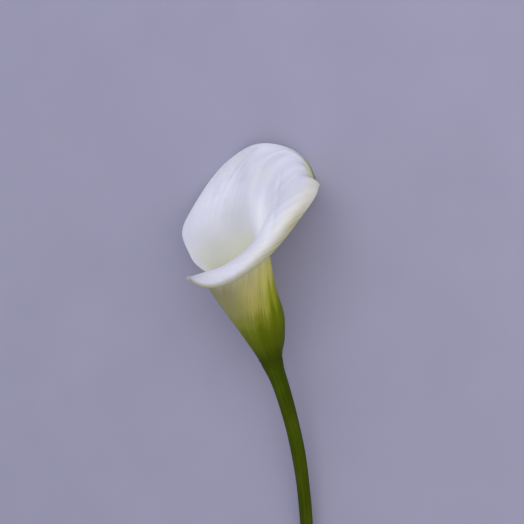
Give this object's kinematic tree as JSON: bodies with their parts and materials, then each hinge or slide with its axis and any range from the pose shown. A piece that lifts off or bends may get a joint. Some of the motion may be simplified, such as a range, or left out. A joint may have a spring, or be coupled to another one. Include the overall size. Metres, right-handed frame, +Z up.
{
  "type": "calla lily flower",
  "caption": "Cut calla lily lying on its side: a white funnel-shaped spathe with a rolled rim and curled tip round a yellow spadix, on a curved green stem.",
  "frame": {"origin": "centre of the bounding box, on the surface that the bloom rests on", "axes": "+Z up; +Y along the bloom, from the cut end of the stem to the mouth; +X to the right when looking along +Y"},
  "size_m": [0.0968, 0.2908, 0.0906],
  "materials": {
    "stem": "dark olive green living stalk, fine lengthwise ribs, satin",
    "spathe": "waxy white blade with soft lengthwise veins, green at the foot of the tube, satin",
    "spadix": "matt yellow florets"
  },
  "bodies": {
    "root": {"stem": "stem", "spathe": "spathe", "spadix": "spadix"}
  },
  "joints": []
}
